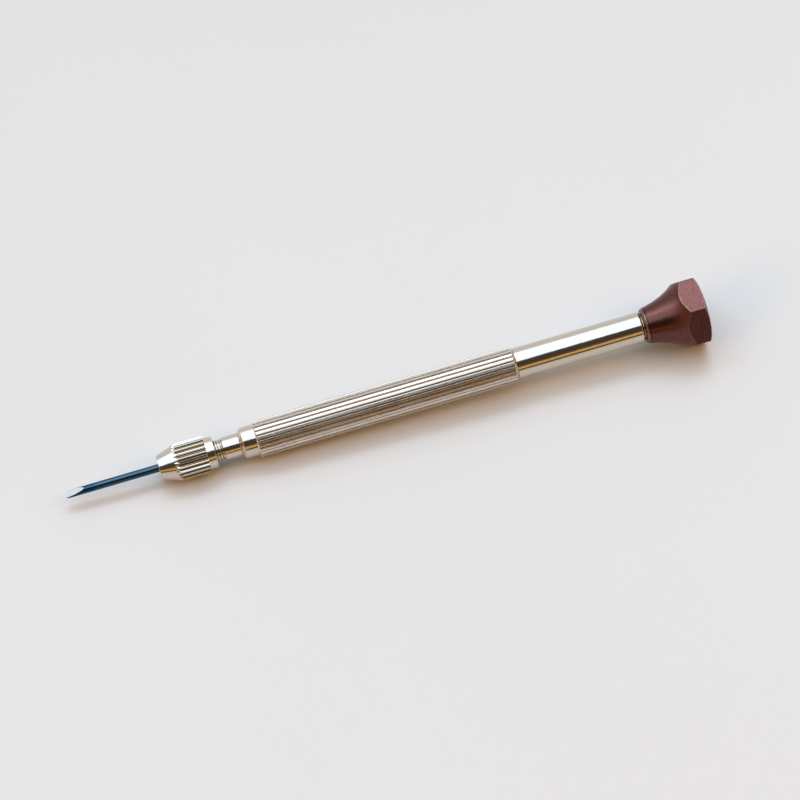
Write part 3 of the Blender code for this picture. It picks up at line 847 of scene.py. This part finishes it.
# %% [markdown]
# ## Light
#
# Polished metal is only as good as what it mirrors. The room here is a function of one angle: how
# far a direction has turned about the tool's line, from level in front, over the top, to level
# behind. In front is a warm wall, above it a dark gap, overhead a wide white softbox that leans
# back, and behind it a pale wall. On a round tube these show as long bands. Towards both ends of
# the tool the room fades to a dim, warm wall.

# %% Make the room
ROOM_STOPS = [
    (-180, (0.55, 0.53, 0.50)), (-90, (0.5, 0.48, 0.45)), (0, (0.10, 0.07, 0.04)),
    (9, (0.14, 0.09, 0.04)), (14, (0.62, 0.40, 0.13)), (23, (0.74, 0.48, 0.16)),
    (29, (0.18, 0.11, 0.05)), (40, (0.065, 0.045, 0.032)), (70, (0.085, 0.066, 0.055)),
    (75, (1.32, 1.60, 1.86)), (111, (1.42, 1.70, 1.98)), (114, (2.9, 3.44, 3.9)),
    (124, (2.9, 3.44, 3.9)), (127, (1.42, 1.70, 1.98)), (142, (1.32, 1.60, 1.86)),
    (147, (0.75, 0.74, 0.73)), (180, (0.72, 0.71, 0.70)),
]
SIDE_COLOUR = (0.60, 0.38, 0.20)
SIDE_FROM, SIDE_TO = 0.62, 0.85


def make_room():
    """World colour from the angle atan2(z, -y) of each direction, and warm towards both ends."""
    scene = bpy.context.scene
    world = bpy.data.worlds.new("studio")
    scene.world = world
    world.use_nodes = True
    tree = world.node_tree
    back = tree.nodes["Background"]
    place = tree.nodes.new("ShaderNodeTexCoord")
    split = tree.nodes.new("ShaderNodeSeparateXYZ")
    flip = tree.nodes.new("ShaderNodeMath")
    flip.operation = "MULTIPLY"
    flip.inputs[1].default_value = -1
    angle = tree.nodes.new("ShaderNodeMath")
    angle.operation = "ARCTAN2"
    share = tree.nodes.new("ShaderNodeMapRange")
    share.inputs["From Min"].default_value = -math.pi
    share.inputs["From Max"].default_value = math.pi
    ramp = tree.nodes.new("ShaderNodeValToRGB")
    tree.links.new(place.outputs["Generated"], split.inputs[0])
    tree.links.new(split.outputs["Y"], flip.inputs[0])
    tree.links.new(split.outputs["Z"], angle.inputs[0])
    tree.links.new(flip.outputs[0], angle.inputs[1])
    tree.links.new(angle.outputs[0], share.inputs["Value"])
    tree.links.new(share.outputs["Result"], ramp.inputs["Fac"])
    reach = tree.nodes.new("ShaderNodeMath")
    reach.operation = "ABSOLUTE"
    fade = tree.nodes.new("ShaderNodeMapRange")
    fade.inputs["From Min"].default_value = SIDE_FROM
    fade.inputs["From Max"].default_value = SIDE_TO
    mix = tree.nodes.new("ShaderNodeMix")
    mix.data_type = "RGBA"
    mix.inputs[7].default_value = (*SIDE_COLOUR, 1)
    tree.links.new(split.outputs["X"], reach.inputs[0])
    tree.links.new(reach.outputs[0], fade.inputs["Value"])
    tree.links.new(fade.outputs["Result"], mix.inputs["Factor"])
    tree.links.new(ramp.outputs["Color"], mix.inputs[6])
    tree.links.new(mix.outputs[2], back.inputs["Color"])
    stops = ramp.color_ramp.elements
    for index, (degrees, colour) in enumerate(ROOM_STOPS):
        where = (degrees + 180) / 360
        if index < 2:
            stop = stops[index]
            stop.position = where
        else:
            stop = stops.new(where)
        stop.color = (*colour, 1)


make_room()

# %% [markdown]
# Two warm lamps stand low beyond the ends of the tool. Shining along it, they reach the strip of
# table that the tool hides from the softbox, and turn its shadow brown. They are kept out of
# mirror reflections, so the bands on the metal stay as they are.

# %% Make the warm lamps
LAMP_DISTANCE, LAMP_FORWARD, LAMP_RISE = 1.0, 0.25, math.radians(35)
LAMP_SIZE, LAMP_WATTS, LAMP_COLOUR = 0.4, 3.3, (1.0, 0.55, 0.21)


def make_lamps():
    """One area lamp beyond each end, aimed at the middle of the tool."""
    for name, side in (("lamp_left", -1), ("lamp_right", 1)):
        data = bpy.data.lights.new(name, "AREA")
        data.energy = LAMP_WATTS
        data.size = LAMP_SIZE
        data.color = LAMP_COLOUR
        lamp = bpy.data.objects.new(name, data)
        bpy.context.scene.collection.objects.link(lamp)
        lamp.location = (side * LAMP_DISTANCE * math.cos(LAMP_RISE), -LAMP_FORWARD,
                         LAMP_DISTANCE * math.sin(LAMP_RISE))
        lamp.rotation_euler = (-lamp.location).to_track_quat("-Z", "Y").to_euler()
        lamp.visible_glossy = False


make_lamps()

# %% [markdown]
# ## Camera
#
# The camera looks down on the tool from in front with a long lens, rolled a little, so that the
# blade points down to the left. Standard view transform keeps white paper white.

# %% Make the camera
AZIMUTH, ELEVATION, ROLL = math.radians(9.864), math.radians(59.678), math.radians(-7.744)
DISTANCE = 474.98 * MM
TARGET = Vector((2.035 * MM, -0.464 * MM, 5.146 * MM))
LENS_MM, SENSOR_MM, NEAREST = 139.2, 36.0, 0.01


def make_camera():
    """Camera on a sphere round the target, turned about its own line of sight."""
    view = Vector((math.sin(AZIMUTH) * math.cos(ELEVATION),
                   math.cos(AZIMUTH) * math.cos(ELEVATION), -math.sin(ELEVATION)))
    level = view.cross(Vector((0, 0, 1))).normalized()
    raised = level.cross(view)
    right = math.cos(ROLL) * level + math.sin(ROLL) * raised
    up = math.cos(ROLL) * raised - math.sin(ROLL) * level
    data = bpy.data.cameras.new("camera")
    data.lens = LENS_MM
    data.sensor_width = SENSOR_MM
    data.clip_start = NEAREST
    camera = bpy.data.objects.new("camera", data)
    bpy.context.scene.collection.objects.link(camera)
    turn = Matrix((right, up, -view)).transposed()
    camera.matrix_world = Matrix.LocRotScale(TARGET - DISTANCE * view, turn, None)
    bpy.context.scene.camera = camera
    bpy.context.scene.view_settings.view_transform = "Standard"


make_camera()

# %% [markdown]
# ## Sizes
#
# The boxes of the CAD model and of the finished model are both printed.

# %% Print the sizes
new_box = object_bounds()
for label, (low, high) in (("cad", cad_box), ("visual", new_box)):
    print(label, [round((b - a) / MM, 3) for a, b in zip(low, high)])
